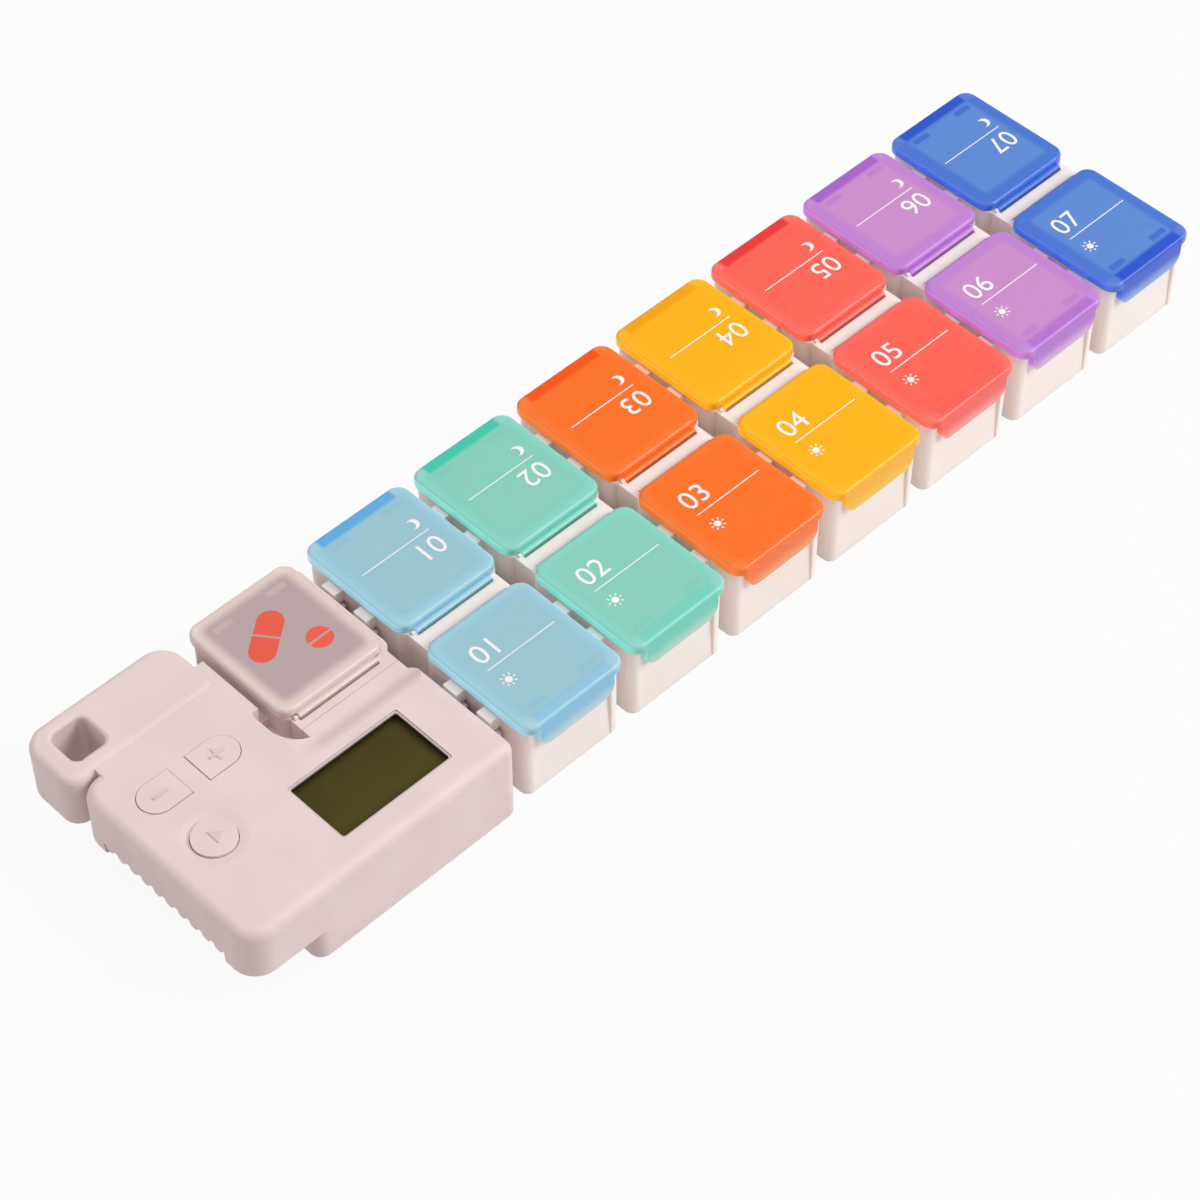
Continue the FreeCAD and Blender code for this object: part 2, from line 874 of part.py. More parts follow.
def key_switches():
    half = switch_size / 2
    plunger_top = key_foot - key_travel - plunger_clear
    switches = []
    for name in KEYS:
        x, y = key_centre(name)
        body = block(x - half, x + half, y - half, y + half, board_top, board_top + switch_height)
        switches.append(joined(body, [post(plunger_radius, x, y, board_top, plunger_top)]))
    return Part.makeCompound(switches)


def driver_chip():
    x = timer_left + chip_inset
    chip = post(chip_radius, x, -window_middle, board_top, board_top + chip_height)
    return rounded_level(chip, board_top + chip_height, chip_height / 2)


def buzzer():
    x = timer_right - buzzer_inset
    return post(buzzer_radius, x, -window_middle, board_foot - buzzer_height, board_foot)


def coin_cell():
    return post(cell_radius, cell_middle.x, cell_middle.y, cell_foot, cell_foot + cell_thick)


def contact_plate(low_x, high_x, low_z, high_z):
    half = contact_width / 2
    return block(low_x, high_x, -cell_front - half, -cell_front + half, low_z, high_z)


def cell_contact_top():
    """Leaf from the board down to the top of the cell."""
    x = cell_middle.x
    cell_top = cell_foot + cell_thick
    upper = contact_plate(x - contact_foot_length, x, board_foot - contact_thick, board_foot)
    lower = contact_plate(x - contact_foot_length, x, cell_top, cell_top + contact_thick)
    spine = contact_plate(x - contact_thick, x, cell_top, board_foot)
    return joined(upper, [lower, spine])


def cell_contact_side():
    """Leaf from the board down to the rim of the cell."""
    x = cell_middle.x - cell_radius - contact_gap
    upper = contact_plate(x - contact_thick, x + contact_foot_length, board_foot - contact_thick, board_foot)
    spine = contact_plate(x - contact_thick, x, pad_top + contact_slot_clear, board_foot)
    return joined(upper, [spine])


def battery_door():
    face_half = door_face_half
    tongue_half = face_half + door_tongue
    low_x = step + door_end_inset
    face_top = door_lift + door_face_thick
    end = step + door_length
    face = block(low_x, end, door_middle - face_half, door_middle + face_half, door_lift, face_top)
    tongue = block(low_x, end, door_middle - tongue_half, door_middle + tongue_half, face_top, door_top)
    half = door_groove_length / 2
    grooves = []
    for index in range(door_groove_count):
        x = low_x + door_groove_inset + index * door_groove_pitch
        grooves.append(block(x, x + door_groove_width, door_middle - half, door_middle + half,
                             door_lift - overrun, door_lift + door_groove_depth))
    return joined(face, [tongue]).cut(grooves)


def case_screws():
    screws = []
    for x, y in screw_places:
        head = post(screw_head_radius, x, y, screw_sink, screw_sink + screw_head_height)
        shank = post(screw_radius, x, y, screw_sink, board_top + screw_bite)
        screws.append(joined(head, [shank]))
    return Part.makeCompound(screws)


def all_parts():
    parts = {
        "timer_top_case": timer_top_case(),
        "timer_bottom_case": timer_bottom_case(),
        "extra_lid": moved(turned(lid()), box_middle),
        "display_glass": display_glass(),
        "display_bezel": display_bezel(),
        "display_connector": display_connector(),
        "circuit_board": circuit_board(),
        "key_switches": key_switches(),
        "driver_chip": driver_chip(),
        "buzzer": buzzer(),
        "coin_cell": coin_cell(),
        "cell_contact_top": cell_contact_top(),
        "cell_contact_side": cell_contact_side(),
        "battery_door": battery_door(),
        "case_screws": case_screws(),
    }
    for name in KEYS:
        parts["button_" + name] = button(name)
    tray = day_tray()
    front_lid = lid()
    for day in range(day_count):
        x = first_day + day * day_pitch
        number = str(day + 1)
        parts["tray_" + number] = moved(tray, x)
        parts["lid_morning_" + number] = moved(front_lid, x)
        parts["lid_evening_" + number] = moved(turned(front_lid), x)
    return parts


os.makedirs("parts", exist_ok=True)
for node, shape in all_parts().items():
    shape.exportStep("parts/" + node + ".step")
    solids = len(shape.Solids)
    print(node, "solids", solids, "valid", shape.isValid(), "volume", round(shape.Volume, 1))
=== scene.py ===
import math

import bmesh
import bpy
from mathutils import Matrix, Vector

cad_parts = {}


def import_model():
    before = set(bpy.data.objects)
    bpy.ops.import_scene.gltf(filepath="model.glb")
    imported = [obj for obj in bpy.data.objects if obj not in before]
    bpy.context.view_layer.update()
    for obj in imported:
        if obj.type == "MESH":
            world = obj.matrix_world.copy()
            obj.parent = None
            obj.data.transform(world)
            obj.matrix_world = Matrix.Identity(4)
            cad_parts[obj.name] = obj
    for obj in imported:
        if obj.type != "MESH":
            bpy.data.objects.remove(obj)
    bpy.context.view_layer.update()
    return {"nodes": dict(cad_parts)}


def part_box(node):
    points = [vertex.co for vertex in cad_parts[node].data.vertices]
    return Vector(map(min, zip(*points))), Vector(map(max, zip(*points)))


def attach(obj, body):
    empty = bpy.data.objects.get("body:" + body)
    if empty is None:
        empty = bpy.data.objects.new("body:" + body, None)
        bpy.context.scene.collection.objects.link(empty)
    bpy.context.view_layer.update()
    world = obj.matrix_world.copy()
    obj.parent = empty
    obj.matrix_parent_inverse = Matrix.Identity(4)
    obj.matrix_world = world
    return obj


# Looks of the pill box with a timer: materials for its solids, the print on its lids, light and camera.
# All sizes are in metres, in the frame of the solids.
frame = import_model()
nodes = frame["nodes"]

# Camera
camera_azimuth = math.radians(-44.37)
camera_elevation = math.radians(49.35)
camera_roll = math.radians(-0.04)
camera_place = Vector((-0.31017, -0.30312, 0.48626))
camera_lens = 100.0
camera_sensor = 36.0

# Light
floor_half = 3.0
key_place = Vector((0.7, -0.85, 0.85))
key_size = 0.7
key_power = 11.9
top_place = Vector((0.0, 0.2, 1.1))
top_size = 1.3
top_power = 4.2
side_place = Vector((-1.0, 0.65, 0.5))
side_size = 0.6
side_power = 2.0
fill_strength = 0.37
fill_colour = "FFF3EF"
floor_colour = "DCDAD8"
floor_glow = "FFFFFF"
floor_glow_share = 0.93
floor_rough_share = 0.9

# Lids: the sizes that show through them
lid_inner = 0.00275
lid_margin = 0.0021
margin_soft = 0.0016
clear_rim = 0.0022
clear_soft = 0.0012
rim_depth = 0.004
frame_depth = 0.0024
frame_half = 0.0003
tab_half = 0.0093
tab_band = 0.0028
tab_fade = 0.004
catch_start = 0.0044
catch_end = 0.0083
catch_inset = 0.0043
catch_half = 0.00045
# The painted shade of the hinge slot: where it starts on the barrel, and how soft its edge is
slot_line = 0.00176
slot_soft = 0.00008
soft_edge = 0.0005

# Lids: how strongly each of those shows
rim_share = 0.7
rim_drift_share = 0.05
frame_share = 0.3
catch_share = 0.6
clear_catch_share = 0.3
# Painted light and shade on the lids: the sides' deeper tone, partly painted shade; the painted glow on
# the flanks; the painted highlight on the rounded edges; the painted shade in the hinge slot
side_deep_and_shade_share = 0.25
flank_painted_glow_share = 0.38
corner_share = 0.15
painted_glint_share = 0.15
slot_shade_share = 0.5
slot_painted_shade = "2A2A30"

# Lids: how far a face looks up, or for the flanks sideways, where the deeper tone painted on the sides,
# the painted highlight on the rounded edges and the painted glow on the flanks start and where they are
# full
side_facing_shares = (0.1, 0.5)
turn_start_shares = (0.35, 0.6)
turn_end_shares = (0.85, 0.97)
flank_facing_shares = (0.5, 0.9)

# Clear lid and display: tones of the plate, painted greyer as painted shade of the box's inside seen
# through it, and of the rim, and of the front and back of the display
clear_plate_painted_shade = "D4BEC2"
clear_edge = "FFEDE8"
display_front = "4A4515"
display_back = "423D11"
display_drift_share = 0.15
bezel_top = "D8C8C4"

# Raised signs on the buttons: their height, and the painted shade on them
mark_rise = 0.0002
mark_shade_share = 0.35
mark_painted_shade = "C8B4B4"

# Waves per metre in the drift of shade and gloss and in the grain
slow_rate = 30.0
shade_rate = 90.0
gloss_rate = 420.0
lid_gloss_rate = 60.0
lid_grain_rate = 900.0
display_shade_rate = 160.0
display_gloss_rate = 500.0
case_grain_rate = 2600.0
tray_grain_rate = 1500.0
metal_grain_rate = 1800.0
ink_grain_rate = 4000.0

# The part of the noise that a drift is stretched over, and the noise's levels of detail
noise_shares = (0.3, 0.7)
plain_detail = 1.0
drift_detail = 2.0
grain_detail = 3.0

# Finish: depth of the grain, how strongly it shows, and the roughness of lids and display
case_grain = 0.00002
tray_grain = 0.00001
lid_grain = 0.00001
metal_grain = 0.000005
ink_grain = 0.000002
grain_share = 0.25
lid_grain_share = 0.03
lid_rough_shares = (0.23, 0.29)
clear_rough_shares = (0.2, 0.28)
display_rough_shares = (0.25, 0.35)

# How plastics and glass take up light: depth and spread below the surface, and bending at it
case_depth = 0.001
tray_depth = 0.003
lid_depth = 0.001
case_scatter_share = 0.12
tray_scatter_share = 0.4
lid_scatter_share = 0.3
case_scatter_shares = (0.6, 0.4, 0.35)
tray_scatter_shares = (1.0, 0.65, 0.5)
lid_scatter_shares = (1.0, 1.0, 1.0)
clear_share = 0.3
plain_bending = 1.5
lid_bending = 1.49
display_bending = 1.45
lid_shine_share = 0.3
display_shine_share = 0.15

# Lighter and darker tone of each plain material, its least and greatest roughness, and its grain
PLAIN = {
    "case": ("E8D8D8", "E4D3D3", 0.42, 0.55, case_grain_rate, case_grain),
    "tray": ("FFF3EE", "FFEFE9", 0.3, 0.42, tray_grain_rate, tray_grain),
    "steel": ("C4C4C6", "B4B4B8", 0.22, 0.38, metal_grain_rate, metal_grain),
    "black": ("1A1A1B", "121213", 0.3, 0.5, case_grain_rate, case_grain),
    "board": ("1C5A38", "164A2D", 0.35, 0.5, case_grain_rate, case_grain),
    "rubber": ("D8B6BE", "CFA9B3", 0.6, 0.75, case_grain_rate, case_grain),
    "bezel": ("2B281A", "242115", 0.4, 0.55, case_grain_rate, case_grain),
    "white_ink": ("F9FBFB", "F2F5F5", 0.4, 0.55, ink_grain_rate, ink_grain),
    "red_ink": ("EE5D47", "E85540", 0.4, 0.55, ink_grain_rate, ink_grain),
}

# Print on the lids
ink_thick = 0.00004
ink_sink = 0.00001
numeral_height = 0.0045
rule_length = 0.0166
rule_width = 0.00022
numeral_gap = 0.0016
sun_radius = 0.00075
ray_start = 0.00105
ray_end = 0.0016
ray_width = 0.00028
ray_count = 8
moon_radius = 0.0013
moon_bite_share = 0.85
moon_shift_share = 0.55
arc_steps = 24

# Sign on the extra lid: a capsule and a tablet
capsule_length = 0.0125
capsule_width = 0.0052
capsule_gap = 0.0005
capsule_turn = math.radians(38)
tablet_radius = 0.0026
tablet_score = 0.0005
tablet_offset = Vector((0.0046, -0.0046, 0))

# Faces that meet at less than this angle are shaded as one
smooth_angle = math.radians(35)

# Where the print lies on a lid: its left end from the middle, its rule and its icon from the hinge edge
PRINT_PLACES = {
    "morning": (0.00745, 0.01235, 0.01645),
    "evening": (0.0081, 0.01508, 0.01795),
}

# Name of each day's colour, then the plate, its thick edges (also the deeper tone painted on the sides,
# partly as painted shade), its margin (also the tone of the painted glow on the flanks), the foot of the
# tab (also the tone of the painted highlight on the rounded edges) and the share by which what lies under
# the plate shows
LID_COLOURS = {
    1: ("light_blue", "9BC9D5", "62B2E6", "A5D8EA", "C0D8E2", 0.3),
    2: ("teal", "8AD3C1", "45CDB2", "8ADDD0", "B5DCD4", 0.3),
    3: ("orange", "FF7522", "FA5808", "FF7E30", "F5A36C", 0.15),
    4: ("yellow", "FFB90C", "F9A806", "FFBE1C", "FDC842", 0.1),
    5: ("red", "FF6858", "EE3A3C", "FF7266", "FA9B96", 0.2),
    6: ("purple", "CD92D0", "A968CE", "BE82DE", "D8B0DE", 0.55),
    7: ("blue", "608FD8", "2A57D0", "3F6EDA", "8FACE8", 1.0),
}


def linear(code):
    """Linear colour, with full alpha, for a written sRGB code."""
    channels = []
    for index in (0, 2, 4):
        value = int(code[index:index + 2], 16) / 255
        channels.append(value / 12.92 if value <= 0.04045 else ((value + 0.055) / 1.055) ** 2.4)
    return (*channels, 1.0)


class Shade:
    """A material's nodes, with a short call for each kind that is used here."""

    def __init__(self, name):
        self.material = bpy.data.materials.new(name)
        self.material.use_nodes = True
        self.tree = self.material.node_tree
        self.shader = self.tree.nodes["Principled BSDF"]

    def node(self, kind, **settings):
        made = self.tree.nodes.new(kind)
        for key, value in settings.items():
            setattr(made, key, value)
        return made

    def feed(self, socket, value):
        if isinstance(value, bpy.types.NodeSocket):
            self.tree.links.new(value, socket)
        else:
            socket.default_value = value

    def set(self, **values):
        for key, value in values.items():
            self.feed(self.shader.inputs[key.replace("_", " ")], value)

    def place(self):
        return self.node("ShaderNodeTexCoord").outputs["Object"]

    def split(self, vector):
        made = self.node("ShaderNodeSeparateXYZ")
        self.feed(made.inputs[0], vector)
        return made.outputs

    def facing(self):
        """How far the surface faces along each axis of its own piece."""
        return self.split(self.node("ShaderNodeTexCoord").outputs["Normal"])

    def math(self, operation, *values):
        made = self.node("ShaderNodeMath", operation=operation)
        for socket, value in zip(made.inputs, values):
            self.feed(socket, value)
        return made.outputs[0]

    def vector(self, operation, *values):
        made = self.node("ShaderNodeVectorMath", operation=operation)
        for socket, value in zip(made.inputs, values):
            self.feed(socket, value)
        return made.outputs["Value" if operation == "LENGTH" else "Vector"]

    def noise(self, rate, detail):
        made = self.node("ShaderNodeTexNoise")
        self.feed(made.inputs["Vector"], self.place())
        made.inputs["Scale"].default_value = rate
        made.inputs["Detail"].default_value = detail
        return made.outputs["Fac"]

    def spread(self, value, low, high, to_low=0.0, to_high=1.0):
        made = self.node("ShaderNodeMapRange", interpolation_type="SMOOTHSTEP")
        for socket, given in zip(made.inputs, (value, low, high, to_low, to_high)):
            self.feed(socket, given)
        return made.outputs[0]

    def drift(self, rate, to_low=0.0, to_high=1.0, detail=drift_detail):
        """A value that wanders between two others along the piece."""
        return self.spread(self.noise(rate, detail), *noise_shares, to_low, to_high)

    def mix(self, share, first, second):
        made = self.node("ShaderNodeMix", data_type="RGBA")
        self.feed(made.inputs[0], share)
        self.feed(made.inputs[6], first)
        self.feed(made.inputs[7], second)
        return made.outputs[2]

    def bump(self, height, strength, distance):
        made = self.node("ShaderNodeBump")
        made.inputs["Strength"].default_value = strength
        made.inputs["Distance"].default_value = distance
        self.feed(made.inputs["Height"], height)
        self.feed(self.shader.inputs["Normal"], made.outputs["Normal"])


def tone(shade, kind):
    """A slow drift between the two tones of a plain material."""
    light, dark = PLAIN[kind][:2]
    return shade.mix(shade.drift(shade_rate), linear(light), linear(dark))


def finish(shade, kind):
    """Patchy gloss and a fine grain."""
    rough_low, rough_high, grain_rate, grain_depth = PLAIN[kind][2:]
    shade.set(Roughness=shade.drift(gloss_rate, rough_low, rough_high), IOR=plain_bending)
    shade.bump(shade.noise(grain_rate, grain_detail), grain_share, grain_depth)


def plain(name, kind):
    shade = Shade(name)
    shade.set(Base_Color=tone(shade, kind))
    finish(shade, kind)
    return shade


def scatter(shade, share, shares, depth):
    """Light that enters the plastic and comes out close by."""
    shade.set(Subsurface_Weight=share, Subsurface_Radius=shares, Subsurface_Scale=depth)


def timer_material():
    shade = plain("timer_shell", "case")
    scatter(shade, case_scatter_share, case_scatter_shares, case_depth)
    return shade.material


def key_material(node):
    """The case's plastic, with painted shade on the raised sign: a darker tone that stands in for the
    shading along its edges.
    """
    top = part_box(node)[1].z
    shade = Shade(node)
    height = shade.split(shade.place())[2]
    # Painted shade: the raised sign is darkened to stand in for the shading along its edges
    painted_mark_shade = shade.spread(height, top - mark_rise, top - mark_rise / 2, 0.0, mark_shade_share)
    shade.set(Base_Color=shade.mix(painted_mark_shade, tone(shade, "case"), linear(mark_painted_shade)))
    finish(shade, "case")
    return shade.material


def tray_material():
    shade = plain("tray_white", "tray")
    scatter(shade, tray_scatter_share, tray_scatter_shares, tray_depth)
    return shade.material


class LidMap:
    """Which part of a lid each point belongs to, with the lid's hinge at its inner edge."""

    def __init__(self, shade, node):
        low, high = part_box(node)
        place = shade.split(shade.place())
        self.shade = shade
        self.reach = max(abs(low.y), abs(high.y))
        self.half = (high.x - low.x) / 2
        self.foot = low.z
        self.across = shade.math("ABSOLUTE", shade.math("SUBTRACT", place[0], (low.x + high.x) / 2))
        self.along = place[1]
        self.out = shade.math("ABSOLUTE", self.along)
        self.height = place[2]

    def from_edge(self):
        """Distance from the lid's rounded outline, as far in as the rim's depth."""
        shade = self.shade
        place = shade.node("ShaderNodeCombineXYZ")
        shade.feed(place.inputs[0], self.across)
        middle = (lid_inner + self.reach) / 2
        shade.feed(place.inputs[1], shade.math("ABSOLUTE", shade.math("SUBTRACT", self.out, middle)))
        core = (self.half - rim_depth, (self.reach - lid_inner) / 2 - rim_depth, 0)
        beyond = shade.vector("MAXIMUM", shade.vector("SUBTRACT", place.outputs[0], core), (0, 0, 0))
        return shade.math("SUBTRACT", rim_depth, shade.vector("LENGTH", beyond))

    def rim(self, width, soft):
        return self.shade.spread(self.from_edge(), width - soft, width + soft, 1.0, 0.0)

    def frame(self):
        """A soft line along the inside of the rim."""
        off_line = self.shade.math("ABSOLUTE", self.shade.math("SUBTRACT", self.from_edge(), frame_depth))
        return self.shade.spread(off_line, frame_half, frame_half + 2 * soft_edge, 1.0, 0.0)

    def tab_row(self):
        """The outer end of the plate, where the tab hangs down."""
        start = self.reach - tab_band
        return self.shade.spread(self.out, start - soft_edge, start + soft_edge)

    def tab(self):
        in_tab = self.shade.spread(self.across, tab_half - soft_edge, tab_half + soft_edge, 1.0, 0.0)
        return self.shade.math("MULTIPLY", in_tab, self.tab_row())

    def catches(self):
        shade = self.shade
        past_start = shade.spread(self.across, catch_start - soft_edge, catch_start)
        before_end = shade.spread(self.across, catch_end, catch_end + soft_edge, 1.0, 0.0)
        off_line = shade.math("ABSOLUTE", shade.math("SUBTRACT", self.out, self.reach - catch_inset))
        on_line = shade.spread(off_line, catch_half, catch_half + soft_edge, 1.0, 0.0)
        return shade.math("MULTIPLY", on_line, shade.math("MULTIPLY", past_start, before_end))

    def slot(self):
        """Painted shade: the side of the barrel that lies in the shade of its slot, painted dark."""
        return self.shade.spread(self.out, slot_line - slot_soft, slot_line + slot_soft, slot_shade_share, 0.0)

    def evening(self):
        return self.shade.spread(self.along, -lid_inner, lid_inner)

    def tab_foot(self):
        return self.shade.spread(self.height, self.foot, self.foot + tab_fade, 1.0, 0.0)


def plate_colour(shade, lid, body, edge, margin, foot, show):
    """Colour of a lid's plate: its margin, what lies under it, and its outer corners."""
    drift = shade.drift(slow_rate, -rim_drift_share, rim_drift_share, plain_detail)
    outer = shade.math("ADD", shade.math("MULTIPLY", lid.rim(lid_margin, margin_soft), rim_share), drift)
    colour = shade.mix(outer, linear(body), linear(margin))
    tab = lid.tab()
    catches = shade.math("MULTIPLY", lid.catches(), catch_share)
    line = shade.math("MULTIPLY", lid.frame(), frame_share)
    under = shade.math("MAXIMUM", line, shade.math("MAXIMUM", tab, catches))
    seen_tab = shade.math("MULTIPLY", tab, lid.evening())
    deep = shade.math("MAXIMUM", shade.math("MULTIPLY", under, show), seen_tab)
    colour = shade.mix(deep, colour, linear(edge))
    corner = shade.math("SUBTRACT", lid.tab_row(), tab)
    return shade.mix(shade.math("MULTIPLY", corner, corner_share), colour, linear(foot))


def lid_material(name, body, edge, margin, foot, show, node):
    """Tinted see-through plastic: deep where it is thick, pale at the tab's foot, its sides painted
    deeper, partly as painted shade, with a painted highlight on the rounded edges, a painted glow on the
    flanks and painted shade in the hinge slot.
    """
    shade = Shade(name)
    lid = LidMap(shade, node)
    facing = shade.facing()
    up = facing[2]
    colour = plate_colour(shade, lid, body, edge, margin, foot, show)
    # The sides take the deeper edge tone, partly for the plastic's depth seen edge-on and partly as
    # painted shade
    colour = shade.mix(shade.spread(up, *side_facing_shares, side_deep_and_shade_share, 0.0), colour, linear(edge))
    # Painted highlight: a paler band where the rounded top edge turns down to the side
    past_side = shade.spread(up, *turn_start_shares)
    turn = shade.math("MULTIPLY", past_side, shade.spread(up, *turn_end_shares, 1.0, 0.0))
    colour = shade.mix(shade.math("MULTIPLY", turn, painted_glint_share), colour, linear(foot))
    colour = shade.mix(lid.tab_foot(), colour, linear(foot))
    # Painted shade in the hinge slot
    colour = shade.mix(lid.slot(), colour, linear(slot_painted_shade))
    # Painted glow: the sideways faces give out light in the margin tone, though the plastic is no lamp
    sideways = shade.math("ABSOLUTE", facing[0])
    painted_flank_glow = shade.spread(sideways, *flank_facing_shares, 0.0, flank_painted_glow_share)
    shade.set(Base_Color=colour, Roughness=shade.drift(lid_gloss_rate, *lid_rough_shares))
    shade.set(IOR=lid_bending, Specular_IOR_Level=lid_shine_share)
    scatter(shade, lid_scatter_share, lid_scatter_shares, lid_depth)
    shade.set(Emission_Color=linear(margin), Emission_Strength=painted_flank_glow)
    shade.bump(shade.noise(lid_grain_rate, drift_detail), lid_grain_share, lid_grain)
    return shade.material


def clear_lid_material(node):
    """Frosted clear plastic with a pale rim round a plate painted greyer as painted shade of the box's
    inside, and painted shade in the hinge slot.
    """
    shade = Shade("lid_clear")
    lid = LidMap(shade, node)
    catches = shade.math("MULTIPLY", lid.catches(), clear_catch_share)
    pale = shade.math("MAXIMUM", lid.rim(clear_rim, clear_soft), catches)
    # Painted shade: the plate is greyer than the rim, standing in for the shaded inside of the box seen
    # through it
    colour = shade.mix(pale, linear(clear_plate_painted_shade), linear(clear_edge))
    # Painted shade in the hinge slot
    colour = shade.mix(lid.slot(), colour, linear(slot_painted_shade))
    shade.set(Base_Color=colour, Roughness=shade.drift(lid_gloss_rate, *clear_rough_shares))
    shade.set(IOR=lid_bending, Transmission_Weight=clear_share)
    return shade.material


def bezel_material():
    """Dark frame of the display, with its top in the colour of the case."""
    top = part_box("display_bezel")[1].z
    shade = Shade("bezel")
    height = shade.split(shade.place())[2]
    at_top = shade.spread(height, top - soft_edge, top - soft_edge / 2)
    shade.set(Base_Color=shade.mix(at_top, tone(shade, "bezel"), linear(bezel_top)))
    finish(shade, "bezel")
    return shade.material


def display_material():
    """Dark olive liquid crystal under glass, a little paler towards the front."""
    low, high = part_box("display_glass")
    shade = Shade("display")
    along = shade.split(shade.place())[1]
    drift = shade.drift(display_shade_rate, -display_drift_share, display_drift_share)
    share = shade.math("ADD", shade.spread(along, low.y, high.y), drift)
    colour = shade.mix(share, linear(display_front), linear(display_back))
    shade.set(Base_Color=colour, Roughness=shade.drift(display_gloss_rate, *display_rough_shares))
    shade.set(IOR=display_bending, Specular_IOR_Level=display_shine_share)
    return shade.material


def metal_material():
    shade = plain("steel", "steel")
    shade.set(Metallic=1.0)
    return shade.material


def paint(node, material):
    mesh = nodes[node].data
    mesh.materials.clear()
    mesh.materials.append(material)


def smooth_by_angle(node):
    nodes[node].data.shade_smooth()
    nodes[node].data.set_sharp_from_angle(angle=smooth_angle)


def paint_solids():
    shell = timer_material()
    tray = tray_material()
    steel = metal_material()
    black = plain("black_plastic", "black").material
    board = plain("board", "board").material
    rubber = plain("rubber_strip", "rubber").material
    for node in ("timer_top_case", "timer_bottom_case", "battery_door"):
        paint(node, shell)
    for node in ("button_plus", "button_minus", "button_start"):
        paint(node, key_material(node))
    for node in ("coin_cell", "cell_contact_top", "cell_contact_side", "case_screws"):
        paint(node, steel)
    for node in ("key_switches", "driver_chip", "buzzer"):
        paint(node, black)
    paint("circuit_board", board)
    paint("display_connector", rubber)
    paint("display_bezel", bezel_material())
    paint("display_glass", display_material())
    paint("extra_lid", clear_lid_material("extra_lid"))
    for day, (name, body, edge, margin, foot, show) in LID_COLOURS.items():
        morning = "lid_morning_%d" % day
        lid = lid_material("lid_" + name, body, edge, margin, foot, show, morning)
        paint(morning, lid)
        paint("lid_evening_%d" % day, lid)
        paint("tray_%d" % day, tray)


# Print, drawn flat with the hinge at +Y, then laid on a lid
def flat_face(mesh, points):
    return mesh.faces.new([mesh.verts.new((x, y, 0)) for x, y in points])


def arc(radius, start, end, x=0, y=0):
    points = []
    for step in range(arc_steps + 1):
        angle = start + (end - start) * step / arc_steps
        points.append((x + radius * math.cos(angle), y + radius * math.sin(angle)))
    return points


def add_rule(mesh, left, y):
    half = rule_width / 2
    right = left + rule_length
    right_end = arc(half, -math.pi / 2, math.pi / 2, right, y)
    left_end = arc(half, math.pi / 2, 3 * math.pi / 2, left, y)
    flat_face(mesh, right_end + left_end)


def add_sun(mesh, x, y):
    flat_face(mesh, arc(sun_radius, 0, 2 * math.pi, x, y)[:-1])
    half = ray_width / 2
    for index in range(ray_count):
        angle = 2 * math.pi * index / ray_count
        turn = Matrix.Rotation(angle, 2)
        corners = [(ray_start, -half), (ray_end, -half), (ray_end, half), (ray_start, half)]
        flat_face(mesh, [tuple(turn @ Vector(corner) + Vector((x, y))) for corner in corners])


def add_moon(mesh, x, y):
    bite = moon_radius * moon_bite_share
    shift = moon_radius * moon_shift_share
    meet_x = (moon_radius ** 2 - bite ** 2 + shift ** 2) / (2 * shift)
    outer = math.acos(meet_x / moon_radius)
    inner = math.acos((meet_x - shift) / bite)
    rim = arc(moon_radius, outer, 2 * math.pi - outer, x, y)
    hollow = arc(bite, 2 * math.pi - inner, inner, x + shift, y)
    flat_face(mesh, rim + hollow[1:-1])


def add_numeral(mesh, text, left, foot):
    """A plain numeral of the set height, standing on its foot line."""
    curve = bpy.data.curves.new("numeral", "FONT")
    curve.body = text
    holder = bpy.data.objects.new("numeral", curve)
    bpy.context.scene.collection.objects.link(holder)
    bpy.context.view_layer.update()
    filled = holder.evaluated_get(bpy.context.evaluated_depsgraph_get())
    outline = bpy.data.meshes.new_from_object(filled)
    bpy.data.objects.remove(holder)
    bpy.data.curves.remove(curve)
    lows = [min(v.co[axis] for v in outline.vertices) for axis in (0, 1)]
    tall = max(v.co.y for v in outline.vertices) - lows[1]
    scale = numeral_height / tall
    places = [mesh.verts.new(((v.co.x - lows[0]) * scale + left, (v.co.y - lows[1]) * scale + foot, 0))
              for v in outline.vertices]
    for polygon in outline.polygons:
        mesh.faces.new([places[index] for index in polygon.vertices])
    bpy.data.meshes.remove(outline)


def laid_print(name, mesh, material, body, place, turn):
    """Give the flat drawing its ink thickness and lay it on a lid."""
    lifted = bmesh.ops.extrude_face_region(mesh, geom=mesh.faces[:])
    tops = [item for item in lifted["geom"] if isinstance(item, bmesh.types.BMVert)]
    bmesh.ops.translate(mesh, vec=(0, 0, ink_thick), verts=tops)
    bmesh.ops.recalc_face_normals(mesh, faces=mesh.faces[:])
    mesh.transform(Matrix.Translation(place) @ Matrix.Rotation(turn, 4, "Z"))
    data = bpy.data.meshes.new(name)
    mesh.to_mesh(data)
    mesh.free()
    data.materials.append(material)
    piece = bpy.data.objects.new(name, data)
    bpy.context.scene.collection.objects.link(piece)
    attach(piece, body)


def lid_print(day, part, icon, ink):
    node = "lid_%s_%d" % (part, day)
    low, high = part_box(node)
    left, rule, icon_place = PRINT_PLACES[part]
    mesh = bmesh.new()
    add_rule(mesh, -left, -rule)
    add_numeral(mesh, "%02d" % day, -left, -rule + numeral_gap)
    icon(mesh, -left + moon_radius, -icon_place)
    edge_y = -lid_inner if part == "morning" else lid_inner
    turn = 0 if part == "morning" else math.pi
    place = Vector(((low.x + high.x) / 2, edge_y, high.z - ink_sink))
    body = "%s_lid_%d" % (part, day)
    laid_print("print_%s_%d" % (part, day), mesh, ink, body, place, turn)


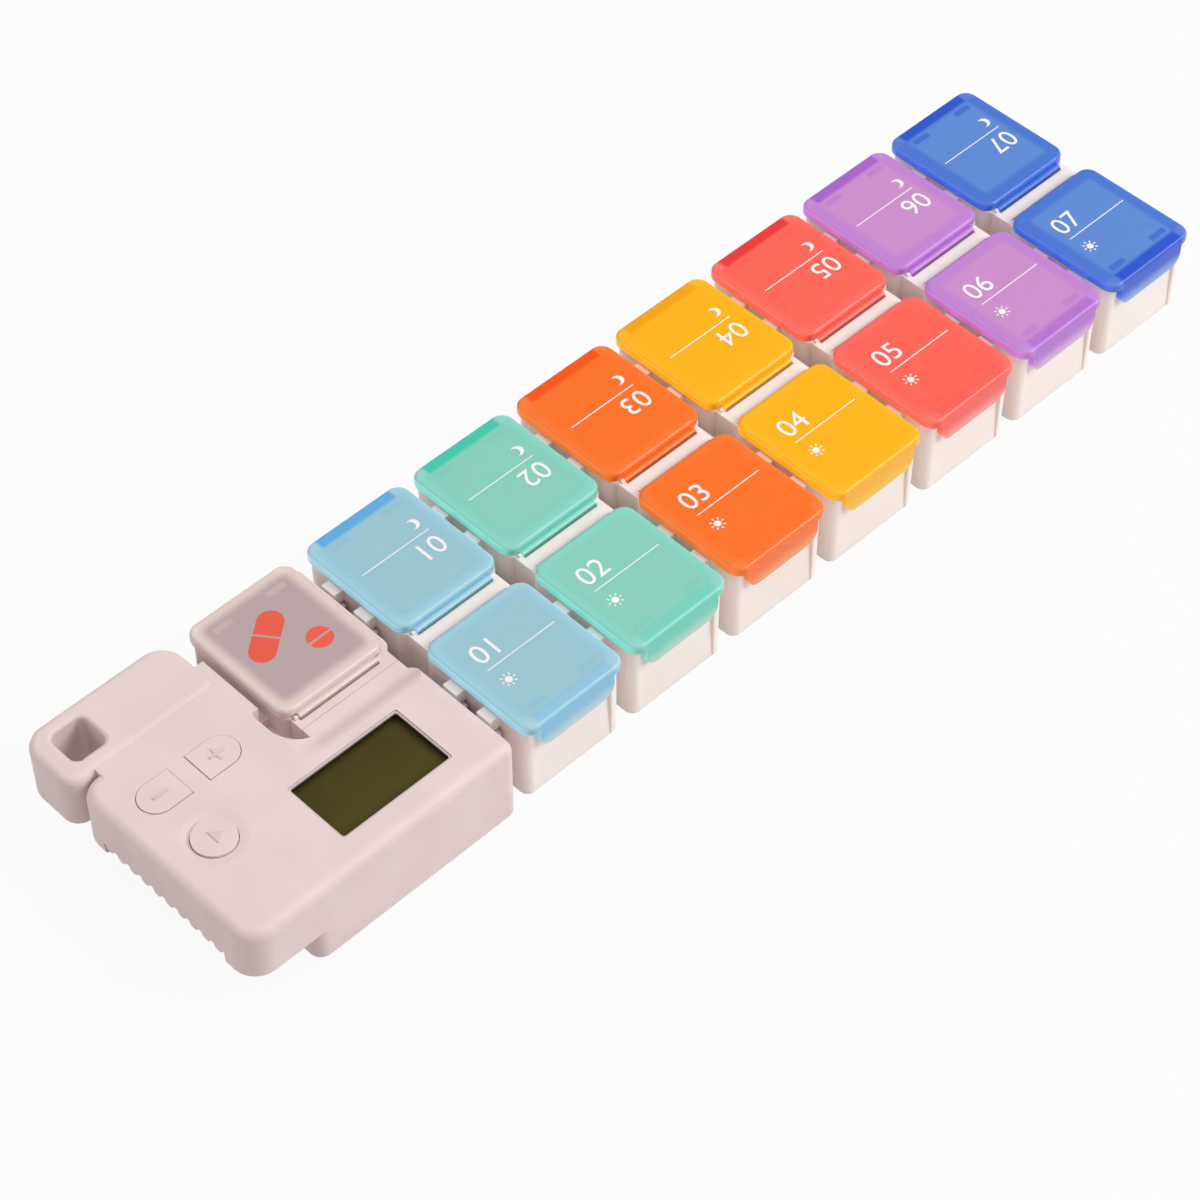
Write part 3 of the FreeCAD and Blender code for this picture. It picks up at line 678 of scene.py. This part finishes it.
def add_capsule(mesh):
    radius = capsule_width / 2
    far = capsule_length / 2 - radius
    near = capsule_gap / 2
    right = [(near, -radius)] + arc(radius, -math.pi / 2, math.pi / 2, far) + [(near, radius)]
    left = [(-x, -y) for x, y in right]
    turn = Matrix.Rotation(capsule_turn, 2)
    for half in (right, left):
        flat_face(mesh, [tuple(turn @ Vector(point) - tablet_offset.xy / 2) for point in half])


def add_tablet(mesh):
    score = math.asin(tablet_score / 2 / tablet_radius)
    for start in (score, math.pi + score):
        end = start + math.pi - 2 * score
        flat_face(mesh, arc(tablet_radius, start, end, tablet_offset.x, tablet_offset.y))


def extra_sign():
    low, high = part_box("extra_lid")
    mesh = bmesh.new()
    add_capsule(mesh)
    add_tablet(mesh)
    ink = plain("print_red", "red_ink").material
    place = Vector(((low.x + high.x) / 2, (lid_inner + high.y) / 2, high.z - ink_sink))
    laid_print("print_extra", mesh, ink, "extra_lid", place, 0)


# Stage
def floor():
    half = floor_half
    mesh = bpy.data.meshes.new("floor")
    corners = [(-half, -half, 0), (half, -half, 0), (half, half, 0), (-half, half, 0)]
    mesh.from_pydata(corners, [], [(0, 1, 2, 3)])
    piece = bpy.data.objects.new("floor", mesh)
    bpy.context.scene.collection.objects.link(piece)
    shade = Shade("floor")
    shade.set(Base_Color=linear(floor_colour), Roughness=floor_rough_share)
    path = shade.node("ShaderNodeLightPath")
    seen = shade.math("MAXIMUM", path.outputs["Is Camera Ray"], path.outputs["Is Glossy Ray"])
    seen = shade.math("MAXIMUM", seen, path.outputs["Is Transmission Ray"])
    glow = shade.node("ShaderNodeEmission")
    glow.inputs["Color"].default_value = linear(floor_glow)
    blend = shade.node("ShaderNodeMixShader")
    shade.feed(blend.inputs[0], shade.math("MULTIPLY", seen, floor_glow_share))
    shade.feed(blend.inputs[1], shade.shader.outputs[0])
    shade.feed(blend.inputs[2], glow.outputs[0])
    shade.feed(shade.tree.nodes["Material Output"].inputs["Surface"], blend.outputs[0])
    mesh.materials.append(shade.material)


def lamp(name, place, size, power):
    data = bpy.data.lights.new(name, "AREA")
    data.shape = "DISK"
    data.size = size
    data.energy = power
    piece = bpy.data.objects.new(name, data)
    piece.location = place
    piece.rotation_euler = (-place).to_track_quat("-Z", "Y").to_euler()
    bpy.context.scene.collection.objects.link(piece)


def world():
    surroundings = bpy.data.worlds.new("surroundings")
    surroundings.use_nodes = True
    bpy.context.scene.world = surroundings
    back = surroundings.node_tree.nodes["Background"]
    back.inputs["Color"].default_value = linear(fill_colour)
    back.inputs["Strength"].default_value = fill_strength


def camera():
    data = bpy.data.cameras.new("camera")
    data.lens = camera_lens
    data.sensor_width = camera_sensor
    level = math.cos(camera_elevation)
    sine = math.sin(camera_azimuth)
    cosine = math.cos(camera_azimuth)
    back = Vector((sine * level, -cosine * level, math.sin(camera_elevation)))
    right = Vector((cosine, sine, 0))
    turn = Matrix((right, back.cross(right), back)).transposed() @ Matrix.Rotation(camera_roll, 3, "Z")
    piece = bpy.data.objects.new("camera", data)
    piece.matrix_world = Matrix.Translation(camera_place) @ turn.to_4x4()
    bpy.context.scene.collection.objects.link(piece)
    bpy.context.scene.camera = piece


paint_solids()
for name in nodes:
    smooth_by_angle(name)
white_ink = plain("print_white", "white_ink").material
for day in LID_COLOURS:
    lid_print(day, "morning", add_sun, white_ink)
    lid_print(day, "evening", add_moon, white_ink)
extra_sign()
floor()
lamp("key", key_place, key_size, key_power)
lamp("top", top_place, top_size, top_power)
lamp("side", side_place, side_size, side_power)
world()
camera()
bpy.context.scene.view_settings.view_transform = "Standard"
